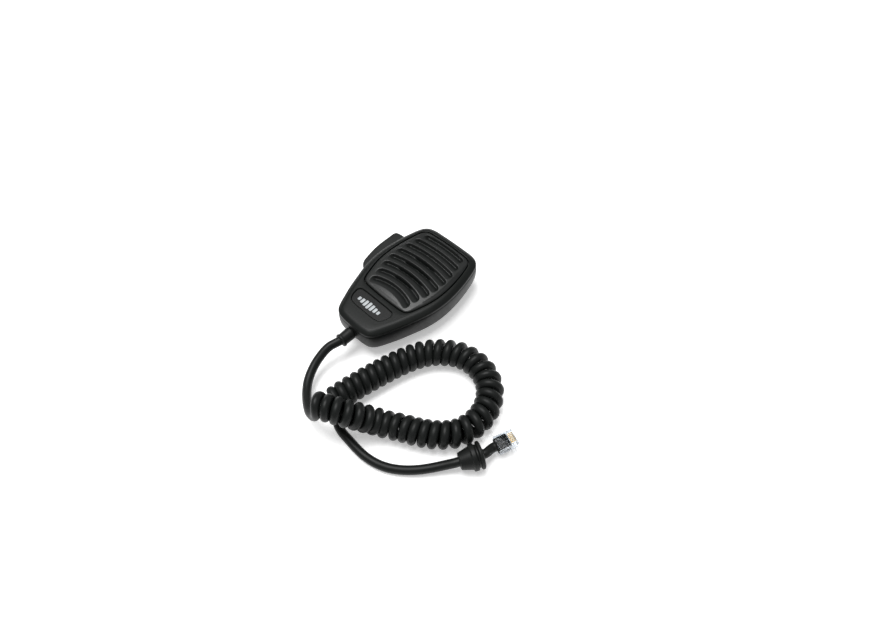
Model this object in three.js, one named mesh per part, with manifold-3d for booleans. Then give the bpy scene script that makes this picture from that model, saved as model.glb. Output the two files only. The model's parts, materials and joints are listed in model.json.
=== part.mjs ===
// Hand microphone: two-piece moulded case with a louvred grille panel, a side push-to-talk bar on a pin,
// a small switch with lever and plunger, the capsule, board and cable boot inside,
// and a curly cord that ends in a panel grommet and a clear modular plug.
// Millimetres, +Z up. The microphone lies on its back, +Y runs towards its top, -Y to the cord.
import * as THREE from 'three';
import Module from 'manifold-3d';
const wasm = await Module();
wasm.setup();

// ---- driving sizes
const FACE_Z = 23.0;          // height of the front rim above the table
const SPLIT_Z = 19.0;         // parting line between rear and front mouldings
const GAP = 0.3;              // clearance between neighbouring pieces
const WALL = 2.0;             // moulding wall
const CHIN_RISE = 4.0;        // how far the back rises at the cord end
const SLOTS = 8;
const SLOT_Y0 = -11.0, SLOT_PITCH = 6.68;
const SLOT_HALF = [16.6, 18.0, 20.0, 21.2, 21.2, 20.4, 18.8, 16.6];
const SLOT_SAG = [3.4, 3.2, 2.9, 2.6, 2.2, 1.8, 1.3, 0.9];
const PIVOT = [-24.6, -5.0];  // push-to-talk pin
const BOOT_Z = 14.0;
const HANG_Y = 15.0;             // hanger button's centre on the back
const CORD_D = 5.2, COIL_OD = 16.6;
const LATCH_Y = 8.2, LATCH_OPEN = 0.115; // latch hinge station and its open angle, radians
const PLUG_W = 9.4, PLUG_L = 11.5, PLUG_H = 6.0;

// ---- helpers
const C = (hex, rough = 0.6, metal = 0) => new THREE.MeshStandardMaterial({ color: hex, roughness: rough, metalness: metal });
const group = new THREE.Group();
function manifoldOf(verts, tris) {
  const m = new wasm.Mesh({ numProp: 3, vertProperties: new Float32Array(verts.flat()), triVerts: new Uint32Array(tris.flat()) });
  return new wasm.Manifold(m);
}
function signedVolume(v, t) {
  let s = 0;
  for (const [a, b, c] of t) {
    const A = v[a], B = v[b], D = v[c];
    s += A[0] * (B[1] * D[2] - B[2] * D[1]) - A[1] * (B[0] * D[2] - B[2] * D[0]) + A[2] * (B[0] * D[1] - B[1] * D[0]);
  }
  return s / 6;
}
// closed body from equal-count rings; each end is closed with a fan to its middle point
function loft(rings, endA = null, endB = null) {
  const n = rings[0].length, v = [], t = [];
  for (const r of rings) for (const p of r) v.push(p.slice());
  for (let k = 0; k + 1 < rings.length; k++) for (let i = 0; i < n; i++) {
    const a = k * n + i, b = k * n + (i + 1) % n, c = a + n, d = b + n;
    t.push([a, b, d], [a, d, c]);
  }
  const mid = r => [0, 1, 2].map(j => r.reduce((s, p) => s + p[j], 0) / n);
  const ca = v.length; v.push(endA || mid(rings[0]));
  const cb = v.length; v.push(endB || mid(rings[rings.length - 1]));
  const o = (rings.length - 1) * n;
  for (let i = 0; i < n; i++) { t.push([(i + 1) % n, i, ca]); t.push([o + i, o + (i + 1) % n, cb]); }
  if (signedVolume(v, t) < 0) t.forEach(x => x.reverse());
  return manifoldOf(v, t);
}
function catmull(pts, samples) {
  const c = new THREE.CatmullRomCurve3(pts.map(p => new THREE.Vector3(p[0], p[1], 0)), true, 'centripetal');
  c.arcLengthDivisions = 600;
  return c.getSpacedPoints(samples).slice(0, samples).map(p => [p.x, p.y]);
}
function mirrored(half) { // half runs from the bottom middle up the +X side to the top middle
  const other = half.slice(1, -1).reverse().map(([x, y]) => [-x, y]);
  return half.concat(other);
}
function offset(poly, dist) { // dist > 0 grows a counter-clockwise outline; it may depend on the station y
  const n = poly.length;
  return poly.map((p, i) => {
    const d = typeof dist === 'function' ? dist(p[1]) : dist;
    const a = poly[(i + n - 1) % n], b = poly[(i + 1) % n];
    const tx = b[0] - a[0], ty = b[1] - a[1], L = Math.hypot(tx, ty) || 1;
    return [p[0] + d * ty / L, p[1] - d * tx / L];
  });
}
const at = (poly, z) => poly.map(p => [p[0], p[1], typeof z === 'function' ? z(p[0], p[1]) : z]);
const shrink = (poly, c, f) => poly.map(p => [c[0] + (p[0] - c[0]) * f, c[1] + (p[1] - c[1]) * f]);
function fromGeo(g) {
  const idx = new Map(), v = [], map = [], pos = g.attributes.position;
  for (let i = 0; i < pos.count; i++) {
    const q = [pos.getX(i), pos.getY(i), pos.getZ(i)], k = q.map(x => Math.round(x * 1e4)).join();
    if (!idx.has(k)) { idx.set(k, v.length); v.push(q); }
    map.push(idx.get(k));
  }
  const t = [], ix = g.index ? g.index.array : [...Array(pos.count).keys()];
  for (let i = 0; i < ix.length; i += 3) {
    const a = map[ix[i]], b = map[ix[i + 1]], c = map[ix[i + 2]];
    if (a !== b && b !== c && a !== c) t.push([a, b, c]);
  }
  if (signedVolume(v, t) < 0) t.forEach(x => x.reverse());
  return manifoldOf(v, t);
}
function box(x0, x1, y0, y1, z0, z1) {
  const g = new THREE.BoxGeometry(x1 - x0, y1 - y0, z1 - z0);
  g.translate((x0 + x1) / 2, (y0 + y1) / 2, (z0 + z1) / 2);
  return fromGeo(g);
}
function rod(x, y, z0, z1, r, n = 20, r2 = r) {
  const g = new THREE.CylinderGeometry(r2, r, z1 - z0, n);
  g.rotateX(Math.PI / 2); g.translate(x, y, (z0 + z1) / 2);
  return fromGeo(g);
}
function revolve(profile, from, dir, n = 24) { // profile [radius, station] along dir
  const g = new THREE.LatheGeometry(profile.map(([r, s]) => new THREE.Vector2(r, s)), n);
  const q = new THREE.Quaternion().setFromUnitVectors(new THREE.Vector3(0, 1, 0), new THREE.Vector3(...dir).normalize());
  g.applyQuaternion(q); g.translate(...from);
  return fromGeo(g);
}
function prism(poly, z0, z1) { return loft([at(poly, z0), at(poly, z1)]); }
function polySolid(pts, z0, z1) { // any simple polygon
  const s = new THREE.Shape(pts.map(p => new THREE.Vector2(...p)));
  const g = new THREE.ExtrudeGeometry(s, { depth: z1 - z0, bevelEnabled: false });
  g.translate(0, 0, z0);
  return fromGeo(g);
}
function tube(points, d, sides, steps) {
  const c = new THREE.CatmullRomCurve3(points.map(p => new THREE.Vector3(...p)), false, 'centripetal');
  const s = new THREE.Shape();
  for (let i = 0; i < sides; i++) { const a = i / sides * 2 * Math.PI; s[i ? 'lineTo' : 'moveTo'](d / 2 * Math.cos(a), d / 2 * Math.sin(a)); }
  s.closePath();
  return fromGeo(new THREE.ExtrudeGeometry(s, { steps, bevelEnabled: false, extrudePath: c }));
}
function add(name, man, mat) {
  const m = man.getMesh(), g = new THREE.BufferGeometry();
  const np = m.numProp, src = m.vertProperties, pos = new Float32Array(src.length / np * 3);
  for (let i = 0; i < src.length / np; i++) for (let j = 0; j < 3; j++) pos[i * 3 + j] = src[i * np + j];
  g.setAttribute('position', new THREE.BufferAttribute(pos, 3));
  g.setIndex([...m.triVerts]);
  g.computeVertexNormals();
  const mesh = new THREE.Mesh(g, mat); mesh.name = name; group.add(mesh);
}

// ---- case outline at the rim
const HALF = [[0, -45.2], [8, -44.9], [12.4, -44.0], [15.0, -42.0], [16.9, -39.0], [19.4, -33.5], [22.3, -26.5], [26.0, -15.5],
  [28.0, -9.0], [29.4, -2.5], [30.1, 5], [30.0, 12], [29.3, 19], [28.1, 26], [26.7, 32], [25.3, 37], [23.6, 40.8], [20.8, 43.4],
  [16.4, 44.7], [8.5, 45.1], [0, 45.2]];
const CASE = catmull(mirrored(HALF), 56);
const PANEL_HALF = [[0, -18.9], [9, -18.7], [15.5, -18.3], [18.7, -17.3], [20.6, -14.8], [22.7, -8.5], [24.3, -2.5], [25.3, 4.4],
  [25.5, 10.5], [25.0, 18], [23.8, 26], [22.2, 33], [20.6, 37.4], [17.8, 39.7], [9.5, 40.6], [0, 40.9]];
const PANEL = catmull(mirrored(PANEL_HALF), 48);
const BADGE_HALF = [[0, -34.0], [9, -33.8], [12.3, -33.0], [14.1, -30.9], [15.2, -27.6], [15.4, -25.0], [14.2, -23.2], [10.5, -22.6], [0, -22.5]];
const BADGE = catmull(mirrored(BADGE_HALF), 28).map(([x, y]) => [x - 1.2, y]);

const sm = t => { t = Math.max(0, Math.min(1, t)); return t * t * (3 - 2 * t); };
const backZ = y => CHIN_RISE * sm((-13 - y) / 33);
const MID = [0, 2];
// wall stations: share of the drop from the parting line, inset at the cord end, inset along the body
const LEVELS = [[0, 0.5, 0.5], [0.14, 0.8, 0.75], [0.38, 0.95, 0.5], [0.62, 0.6, -0.5], [0.8, -0.6, -2.1], [0.92, -2.6, -4.1], [1, -5.6, -6.9]];
const body = y => sm((y + 42) / 26);
const wall = (l, add = 0) => y => l[1] + (l[2] - l[1]) * body(y) + add;

// ---- rear moulding
{
  const outer = LEVELS.map(l => at(offset(CASE, wall(l)), (x, y) => SPLIT_Z - l[0] * (SPLIT_Z - backZ(y))));
  const foot = offset(CASE, wall(LEVELS[6]));
  for (const f of [0.8, 0.55, 0.3]) outer.push(at(shrink(foot, MID, f), (x, y) => backZ(y)));
  const full = loft(outer, null, [0, 2, 0]);
  let m = full;
  const inner = [at(offset(CASE, -1.5), SPLIT_Z + 1)];
  for (const l of LEVELS) inner.push(at(offset(CASE, wall(l, -WALL)), (x, y) => SPLIT_Z - l[0] * (SPLIT_Z - backZ(y) - WALL)));
  const ifoot = offset(CASE, wall(LEVELS[6], -WALL));
  for (const f of [0.8, 0.55, 0.3]) inner.push(at(shrink(ifoot, MID, f), (x, y) => backZ(y) + WALL));
  let cav = loft(inner, null, [0, 2, WALL]);
  m = m.subtract(cav);
  // bosses: screws, hanger seat, pin, board posts
  for (const [x, y] of [[14, 33], [-14, 33], [0, -29.4]]) m = m.add(rod(x, y, backZ(y) + 1, 9.0, 3.6));
  m = m.add(rod(0, HANG_Y, 1, 5.6, 13.2, 32));
  m = m.add(rod(0, HANG_Y, 1, 9.0, 3.4));
  m = m.add(rod(PIVOT[0], PIVOT[1], 1.4, 4.6, 2.6));
  for (const [x, y] of [[16, -14], [-13, -14], [17, 21]]) m = m.add(rod(x, y, 1, 9.6, 2.0, 14));
  m = m.intersect(full);
  // screw holes and counterbores
  for (const [x, y] of [[14, 33], [-14, 33], [0, -29.4]]) {
    m = m.subtract(rod(x, y, -2, 12, 1.75)).subtract(rod(x, y, -2, backZ(y) + 3.1, 3.1));
  }
  // well for the hanger button
  m = m.subtract(rod(0, HANG_Y, -2, 3.5, 11.0, 32)).subtract(rod(0, HANG_Y, 1, 8.2, 1.75));
  // pin socket, cable hole, push-to-talk opening
  m = m.subtract(rod(PIVOT[0], PIVOT[1], 2.4, 6, 1.05));
  m = m.subtract(revolve([[0, 0], [3.3, 0], [3.3, 9], [0, 9]], [0, -49, BOOT_Z], [0, 1, 0]));
  m = m.subtract(box(-45, -22.0, -8.9, 29.9, 4.5, SPLIT_Z + 3));
  add('rear_shell', m, C(0x1b1c1b, 0.55));
}

// ---- front moulding
{
  const R = [[SPLIT_Z + GAP, 0.5], [21.0, 0.4], [21.5, 0.0], [22.2, -1.1], [22.7, -2.1], [FACE_Z, -3.1]];
  const rings = R.map(([z, d]) => at(offset(CASE, d), z));
  rings.push(at(shrink(offset(CASE, -3.1), MID, 0.6), FACE_Z));
  let m = loft(rings, null, [0, 2, FACE_Z]);
  m = m.subtract(loft([at(offset(CASE, -1.5), SPLIT_Z - 1), at(offset(CASE, -1.9), 20.2), at(offset(CASE, -2.6), FACE_Z - WALL)]));
  m = m.subtract(prism(PANEL, FACE_Z - 4, FACE_Z + 2));
  m = m.subtract(prism(BADGE, FACE_Z - 1.1, FACE_Z + 1));
  m = m.add(rod(0, -29.4, 9.3, FACE_Z - WALL + 0.3, 3.2));
  m = m.subtract(rod(0, -29.4, 6, 18.5, 1.7));
  add('front_shell', m, C(0x202221, 0.5));
}

// ---- badge plate with a generic row of level bars
{
  let m = prism(offset(BADGE, -0.3), FACE_Z - 1.0, FACE_Z - 0.6);
  add('name_badge', m, C(0x121313, 0.35));
  const bars = [2.6, 3.6, 4.6, 5.2, 4.6, 3.6, 2.6];
  bars.forEach((h, i) => add('badge_bar_' + (i + 1), box(-11.2 + i * 2.8, -9.2 + i * 2.8, -28.9 - h / 2, -28.9 + h / 2, FACE_Z - 0.5, FACE_Z - 0.25), C(0xe8eaea, 0.4)));
}

// ---- grille panel: crowned plate, saw-tooth louvres, snap flange, screw posts
{
  const P = offset(PANEL, -0.35), c = [0, 11];
  const rings = [at(P, FACE_Z - 1.9), at(P, FACE_Z - 0.35), at(offset(PANEL, -0.9), FACE_Z + 0.05), at(shrink(P, c, 0.86), FACE_Z + 0.45),
    at(shrink(P, c, 0.6), FACE_Z + 0.95), at(shrink(P, c, 0.3), FACE_Z + 1.25)];
  let m = loft(rings, null, [0, 11, FACE_Z + 1.35]);
  m = m.add(prism(offset(PANEL, 1.2), FACE_Z - 3.0, FACE_Z - 2.3).add(prism(P, FACE_Z - 3.0, FACE_Z - 1.6)));
  for (const s of [-1, 1]) m = m.add(rod(14 * s, 33, 9.3, FACE_Z - 2.0, 3.0, 16)).subtract(rod(14 * s, 33, 6, 17, 1.7, 14));
  for (let i = 0; i < SLOTS; i++) {
    const y0 = SLOT_Y0 + i * SLOT_PITCH, w = SLOT_HALF[i], sag = SLOT_SAG[i], N = 8;
    const st = [];
    for (let k = 0; k <= N; k++) {
      const x = -w + 2 * w * k / N, u = x / w, y = y0 - sag * u * u + sag * 0.4;
      const f = Math.sqrt(Math.max(0.05, 1 - Math.pow(Math.abs(u), 6)));   // ends close in a rounded way
      const top = FACE_Z + 2.2, deep = FACE_Z + 1.0 * (1 - u * u) - 1.9 * f;
      st.push([[x, y - 3.0 * f, top], [x, y + 2.4, top], [x, y + 2.2, deep], [x, y + 1.2 * f, deep - 0.05], [x, y - 2.7 * f, FACE_Z + 1.15 * (1 - u * u) + 0.1 - 0.2 * f]]);
    }
    m = m.subtract(loft(st));
    if (i >= 1 && i <= 5) { // sound slits through the plate in the middle of the louvres
      const sl = [];
      for (let k = 0; k <= 6; k++) {
        const x = -9 + 3 * k, u = x / w, y = y0 - sag * u * u + sag * 0.4;
        sl.push([[x, y + 1.3, 18], [x, y + 2.1, 18], [x, y + 2.1, FACE_Z + 2], [x, y + 1.3, FACE_Z + 2]]);
      }
      m = m.subtract(loft(sl));
    }
  }
  // hollow behind the louvres
  m = m.subtract(prism(offset(PANEL, -3.0), FACE_Z - 4, FACE_Z - 2.2).subtract(rod(14, 33, 10, 24, 3.2, 16)).subtract(rod(-14, 33, 10, 24, 3.2, 16)));
  add('grille_panel', m, C(0x2c2e2d, 0.5));
}

// ---- push-to-talk bar on its pin
{
  const outline = [[-24.0, -8.2], [-29.4, -8.3], [-31.6, -7.9], [-34.9, -4.6], [-36.3, 0.0], [-37.7, 6.5], [-38.4, 13.7], [-38.4, 21], [-38.2, 26.2], [-37.2, 28.0],
    [-35.4, 28.7], [-30.5, 29.2], [-27.0, 29.3], [-26.4, 29.2], [-26.4, 26.5], [-26.9, 26.0], [-27.0, -2.0], [-22.2, -2.4], [-22.2, -7.4]];
  const ol = outline.slice().reverse();
  let m = polySolid(ol, 5.9, 17.4);
  const a = ol.map(p => [p[0] < -29.6 ? p[0] + 0.9 * (p[0] + 29.6) / -8.8 : p[0], p[1] < -7 && p[0] < -29 ? p[1] + 0.4 : p[1] > 28 && p[0] < -29 ? p[1] - 0.5 : p[1]]);
  m = m.add(polySolid(a, 5.0, 18.3));
  m = m.add(box(-27.6, -21.2, 21.6, 24.4, 10.8, 14.6));       // actuator rib
  m = m.add(box(-27.5, -22.8, 27.2, 29.0, 10.0, 16.0)).add(box(-24.1, -22.8, 27.2, 31.6, 10.0, 16.0)); // stop lip behind the wall
  m = m.subtract(rod(PIVOT[0], PIVOT[1], 2, 20, 1.05, 24));
  for (let k = 0; k < 4; k++) { // finger grooves on the outer face
    const y = 4 + k * 5.2;
    m = m.subtract(rod(-39.2 + 0.12 * k, y, 7.2, 16.1, 1.15, 14));
  }
  add('ptt_button', m, C(0x1d1f1e, 0.6));
  add('ptt_pin', rod(PIVOT[0], PIVOT[1], 2.6, 18.7, 1.0, 24), C(0xb9bcc0, 0.3, 1));
}

// ---- board, switch, parts on the board
const BOARD_Z = 9.9;
{
  const bp = [[-15.5, -20], [12, -24], [19.5, -16], [22.5, 0], [22.5, 16], [19, 26], [-9, 26.5], [-17.4, 24], [-17.4, 8], [-18.5, 2], [-18.5, -12]];
  let m = polySolid(bp, BOARD_Z, BOARD_Z + 1.2);
  m = m.subtract(rod(16, -14, 5, 15, 1.2, 14)).subtract(rod(17, 21, 5, 15, 1.2, 14));
  add('circuit_board', m, C(0x1f4a2c, 0.5));
  for (const [i, x, y] of [[1, 16, -14], [2, 17, 21]]) {
    // screws sit in the board holes and bear on the top face
    let s = rod(x, y, BOARD_Z + 1.25, BOARD_Z + 2.7, 2.1, 16).add(rod(x, y, BOARD_Z - 0.1, BOARD_Z + 1.5, 0.9, 14));
    s = s.subtract(box(x - 1.5, x + 1.5, y - 0.25, y + 0.25, BOARD_Z + 2.1, BOARD_Z + 3)).subtract(box(x - 0.25, x + 0.25, y - 1.5, y + 1.5, BOARD_Z + 2.1, BOARD_Z + 3));
    add('board_screw_' + i, s, C(0xb5b8bb, 0.3, 1));
  }
  const Z = BOARD_Z + 1.25;
  let sw = box(-17.9, -11.5, 9.2, 22.0, Z, Z + 5.8);
  sw = sw.subtract(box(-19, -15.2, 15.0, 17.0, 12.2, 14.6));
  add('switch_body', sw, C(0x2a2a2c, 0.5));
  add('switch_plunger', box(-19.1, -16.6, 15.15, 16.85, 12.35, 14.45), C(0xa03028, 0.5));
  // lever leans out from its hinge towards the bar's rib
  const lev = a => { const g = new THREE.BoxGeometry(0.4, 14.8, 3.4); g.translate(0, 7.4, 0); g.rotateZ(a); g.translate(-18.6, 9.8, 13.4); return fromGeo(g); };
  let lv = lev(8.9 * Math.PI / 180);
  lv = lv.add(rod(-18.65, 10.1, 11.7, 15.1, 0.42, 14));
  add('switch_lever', lv, C(0xc2c5c8, 0.28, 1));
  add('capacitor', rod(12, 3, Z, Z + 6.2, 2.5, 20), C(0x26303e, 0.4));
  add('resistor', revolve([[0, 0], [0.9, 0], [1.15, 0.5], [0.9, 1.0], [0.9, 5.0], [1.15, 5.5], [0.9, 6.0], [0, 6.0]], [8, -9, Z + 1.2], [0, -1, 0], 14), C(0xc9b083, 0.5));
}

// ---- capsule stack under the louvres
{
  let b = rod(0, 9, 13.2, 18.6, 6.6, 28).subtract(rod(0, 9, 13.9, 20, 5.05, 28));
  add('capsule_boot', b, C(0x111212, 0.85));
  add('mic_capsule', rod(0, 9, 14.0, 18.5, 4.85, 28), C(0xb8bbbd, 0.35, 1));
  add('wind_screen', rod(0, 9, 18.9, 19.7, 9.5, 28), C(0x0d0d0d, 0.95));
  add('capsule_stand', rod(0, 9, BOARD_Z + 1.25, 13.15, 5.2, 24), C(0x3a3b3a, 0.6));
}

// ---- case screws and hanger button
function screw(name, x, y, z0, z1) {
  let s = rod(x, y, z0, z0 + 1.8, 2.7, 20).add(rod(x, y, z0 + 1.5, z1, 1.4, 14));
  s = s.subtract(box(x - 1.9, x + 1.9, y - 0.35, y + 0.35, z0 - 1, z0 + 1.0)).subtract(box(x - 0.35, x + 0.35, y - 1.9, y + 1.9, z0 - 1, z0 + 1.0));
  add(name, s, C(0x9fa2a5, 0.3, 1));
}
screw('case_screw_1', 14, 33, 1.0, 16.2);
screw('case_screw_2', -14, 33, 1.0, 16.2);
screw('case_screw_3', 0, -29.4, backZ(-29.4) + 1.0, 17.6);
{
  let h = revolve([[0, 0], [7.2, 0], [7.6, 0.4], [7.6, 1.5], [7.0, 1.8], [4.2, 1.9], [4.2, 3.2], [0, 3.2]], [0, HANG_Y, 0], [0, 0, 1], 32);
  h = h.subtract(rod(0, HANG_Y, -1, 5, 1.75)).subtract(rod(0, HANG_Y, -1, 1.5, 3.1, 24));
  add('hanger_button', h, C(0xb9bcc0, 0.28, 1));
  let s = rod(0, HANG_Y, 0.3, 1.4, 2.8, 20).add(rod(0, HANG_Y, 1.2, 8.0, 1.4, 14));
  s = s.subtract(box(-1.9, 1.9, HANG_Y - 0.35, HANG_Y + 0.35, -1, 0.85)).subtract(box(-0.35, 0.35, HANG_Y - 1.9, HANG_Y + 1.9, -1, 0.85));
  add('hanger_screw', s, C(0x9fa2a5, 0.3, 1));
}

// ---- cable boot, clamp, inner leads
{
  const y0 = -52.4;
  const b = revolve([[0, 0], [3.9, 0], [4.15, 0.3], [4.15, 1.3], [3.75, 1.5], [4.0, 5.6], [3.0, 5.65], [3.0, 10.9], [3.7, 10.9], [3.7, 12.2], [0, 12.2]], [0, y0, BOOT_Z], [0, 1, 0], 28);
  add('strain_relief', b, C(0x161717, 0.6));
  let c = box(-4.2, 4.2, -39.6, -36.4, 11.0, 17.6).subtract(revolve([[0, 0], [2.9, 0], [2.9, 6], [0, 6]], [0, -41, BOOT_Z], [0, 1, 0], 20));
  add('cable_clamp', c, C(0x3b3c3b, 0.6));
  const J = revolve([[0, 0], [2.6, 0], [2.6, 5.6], [0, 5.6]], [0, -39.9, BOOT_Z], [0, 1, 0], 20);
  add('inner_jacket', J, C(0x141515, 0.6));
  const col = [0xb52a2a, 0xd8d8d2, 0x2b62b0];
  const run = [[[-1.5, -33.9, 14], [-4.7, -32.6, 13.2], [-5.4, -28, 12.6], [-4.6, -19.4, 11.9]],
    [[0.3, -33.9, 15.7], [4.9, -31.6, 16.2], [4.6, -26, 15.0], [1.2, -19.4, 11.9]],
    [[1.5, -33.9, 13.4], [4.9, -32.6, 12.6], [6.0, -28, 12.4], [6.0, -19.4, 11.9]]];
  run.forEach((r, i) => add('lead_wire_' + (i + 1), tube(r, 1.0, 6, 12), C(col[i], 0.5)));
}

// ---- curly cord: lead, coil (one thick tube of its outer size), tail
const LEAD = [[0, -52.9, 14], [-0.4, -55.0, 13.95], [-1.4, -58.2, 13.7], [-2.6, -61.7, 13.0], [-3.1, -65.5, 11.8], [-3.0, -69.4, 10.2], [-2.5, -73.8, 8.4], [-1.5, -77.8, 6.7], [0, -81.4, 5.3], [2.1, -84.8, 4.3], [4.8, -87.9, 3.6], [7.9, -90.7, 3.3], [11.8, -93.4, 3.8], [16.3, -95.8, 5.6], [21.2, -97.6, 8.9], [24.6, -98.2, 12.0]];
const COIL = [[28.3, -94.9, 23.8], [35.2, -91.0, 22.9], [42.2, -86.4, 20.3], [48.6, -80.6, 15.2], [53.6, -75.7, 10.4], [58.7, -72.3, 8.5], [66.1, -67.9, 8.4], [76.2, -62.5, 8.4], [85.5, -55.5, 8.4], [91.3, -48.2, 8.4],
  [94.0, -39.0, 8.4], [93.9, -30.5, 8.4], [90.6, -21.5, 8.4], [84.5, -14.0, 8.4], [75.5, -9.4, 8.4], [66.1, -8.4, 8.4], [56.5, -10.7, 8.4], [48.0, -16.5, 8.4], [41.6, -23.6, 8.4], [37.5, -31.5, 8.4],
  [33.6, -42.4, 8.4], [30.7, -53.3, 8.4], [28.2, -63.9, 8.4], [26.1, -74.7, 8.4], [25.0, -83.4, 8.4]];
const TAIL = [[24.7, -84.1, 2.7], [25.1, -86.4, 2.6], [27.6, -88.7, 2.6], [32.4, -90.2, 2.6], [40.8, -91.5, 2.6], [48.2, -92.2, 2.6], [55.1, -92.6, 2.6], [61.6, -92.4, 2.6], [69.0, -90.9, 2.6], [75.8, -88.1, 2.6], [82.3, -83.7, 2.7],
  [88.4, -78.1, 3.1], [93.6, -72.1, 3.9], [98.4, -66.0, 5.5], [102.4, -60.9, 7.2]];
add('cord_lead', tube(LEAD, CORD_D, 10, 22), C(0x141515, 0.5));
add('cord_coil', tube(COIL, COIL_OD, 12, 40), C(0x151616, 0.5));
add('cord_tail', tube(TAIL, CORD_D, 10, 26), C(0x141515, 0.5));

// ---- panel grommet, stub, plug
const G0 = new THREE.Vector3(102.9, -60.1, 7.3), G1 = new THREE.Vector3(109.76, -47.92, 8.0);
{
  const d = G1.clone().sub(G0), L = d.length(), u = d.clone().normalize();
  const prof = [[0, 0], [4.5, 0], [4.7, 0.3], [6.1, 6.9], [6.2, 7.2], [7.5, 7.3], [7.7, 7.6], [7.7, 9.6], [7.4, 9.8], [6.0, 9.9], [6.0, 11.4], [7.6, 11.5], [7.9, 11.9], [7.3, 12.9], [3.3, 13.4], [3.2, L], [0, L]];
  add('panel_grommet', revolve(prof, G0.clone().addScaledVector(u, 0.25).toArray(), u.toArray(), 24), C(0x171818, 0.6));
}
const PD = new THREE.Vector3(0.36, 0.933, 0).normalize();          // plug axis
const PC = new THREE.Vector3(111.5, -38.8, 6.3);                    // middle of the plug's rear face
{
  const u = G1.clone().sub(G0).normalize();
  const s0 = G1.clone().addScaledVector(u, 0.6);
  const s3 = PC.clone().addScaledVector(PD, -0.7);
  add('cord_stub', tube([s0.toArray(), s0.clone().addScaledVector(u, 1.6).toArray(), s3.clone().addScaledVector(PD, -1.8).toArray(), s3.toArray()], CORD_D, 10, 8), C(0x141515, 0.5));
  // local frame of the plug: x across, y along, z up
  const rot = Math.atan2(PD.y, PD.x) - Math.PI / 2;
  const place = g => { g.rotateZ(rot); g.translate(PC.x, PC.y, PC.z); return fromGeo(g); };
  const pb = (x0, x1, y0, y1, z0, z1) => { const g = new THREE.BoxGeometry(x1 - x0, y1 - y0, z1 - z0); g.translate((x0 + x1) / 2, (y0 + y1) / 2, (z0 + z1) / 2); return place(g); };
  const hw = PLUG_W / 2, hh = PLUG_H / 2;
  add('plug_boot', pb(-3.55, 3.55, -0.4, 6.7, -2.1, 2.1), C(0x1a1b1b, 0.6));
  let h = pb(-hw, hw, 0, PLUG_L, -hh, hh);
  h = h.subtract(pb(-3.8, 3.8, -1, 7.0, -2.35, 2.35));
  const contacts = [];
  for (let i = 0; i < 6; i++) {
    const x = (i - 2.5) * 1.02;
    h = h.subtract(pb(x - 0.28, x + 0.28, PLUG_L - 3.9, PLUG_L + 1, 0.2, hh + 1));
    contacts.push(pb(x - 0.17, x + 0.17, PLUG_L - 3.7, PLUG_L - 0.35, 0.4, hh - 0.15));
  }
  h = h.subtract(pb(-3.3, 3.3, -1, PLUG_L - 3.0, -hh - 1, -hh + 0.8));
  add('plug_housing', h, new THREE.MeshStandardMaterial({ color: 0xdfe4e6, roughness: 0.1, transparent: true, opacity: 0.4 }));
  contacts.forEach((c, i) => add('plug_contact_' + (i + 1), c, C(0xc9a24a, 0.25, 1)));
  // latch tongue under the housing, hinged at the nose and hanging a little open
  const tilt = (x0, x1, y0, y1) => {
    const g = new THREE.BoxGeometry(x1 - x0, y1 - y0, 0.7);
    g.translate((x0 + x1) / 2, (y0 + y1) / 2 - LATCH_Y, -0.35);
    g.rotateX(LATCH_OPEN); g.translate(0, LATCH_Y, -hh + 0.3);
    return place(g);
  };
  const l = tilt(-2.9, 2.9, 3.2, LATCH_Y).add(tilt(-1.6, 1.6, -3.2, 3.6));
  add('plug_latch', l, new THREE.MeshStandardMaterial({ color: 0xdfe4e6, roughness: 0.1, transparent: true, opacity: 0.4 }));
}
export default group;
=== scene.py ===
# Hand microphone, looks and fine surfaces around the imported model. Metres; the helpers below take millimetres.
import json, math
import numpy as np
import bpy, bmesh
from mathutils import Vector, Matrix


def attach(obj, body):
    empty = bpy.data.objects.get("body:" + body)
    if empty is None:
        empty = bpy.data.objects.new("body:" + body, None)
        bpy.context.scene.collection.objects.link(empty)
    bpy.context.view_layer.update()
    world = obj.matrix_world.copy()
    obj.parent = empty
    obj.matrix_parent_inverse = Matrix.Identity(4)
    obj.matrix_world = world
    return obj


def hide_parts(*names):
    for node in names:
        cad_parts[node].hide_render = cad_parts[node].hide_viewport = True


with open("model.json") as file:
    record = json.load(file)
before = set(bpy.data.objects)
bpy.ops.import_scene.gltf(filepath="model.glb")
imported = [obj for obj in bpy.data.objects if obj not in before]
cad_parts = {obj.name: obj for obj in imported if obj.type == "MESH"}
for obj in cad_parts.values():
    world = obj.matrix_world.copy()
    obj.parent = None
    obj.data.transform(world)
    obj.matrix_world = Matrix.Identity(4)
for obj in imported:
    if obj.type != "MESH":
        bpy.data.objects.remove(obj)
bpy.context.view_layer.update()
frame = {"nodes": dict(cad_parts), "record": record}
N = frame["nodes"]
MM = 0.001

# ------------------------------------------------------------------ camera
CAM_P = (186.657, -152.375, 318.790)
CAM_R = (0.716798, 0.696757, -0.027019)
CAM_U = (-0.560063, 0.598389, 0.572940)
CAM_F = (-0.415368, 0.395550, -0.819152)
cd = bpy.data.cameras.new("camera")
cd.sensor_width = 36.0
cd.lens = 36.0 * 600.0 / 871.0
cd.clip_start, cd.clip_end = 0.01, 50.0
cam = bpy.data.objects.new("camera", cd)
bpy.context.scene.collection.objects.link(cam)
cam.matrix_world = Matrix((
    (CAM_R[0], CAM_U[0], -CAM_F[0], CAM_P[0] * MM),
    (CAM_R[1], CAM_U[1], -CAM_F[1], CAM_P[1] * MM),
    (CAM_R[2], CAM_U[2], -CAM_F[2], CAM_P[2] * MM),
    (0, 0, 0, 1)))
bpy.context.scene.camera = cam
bpy.context.scene.view_settings.view_transform = "Standard"


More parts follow.
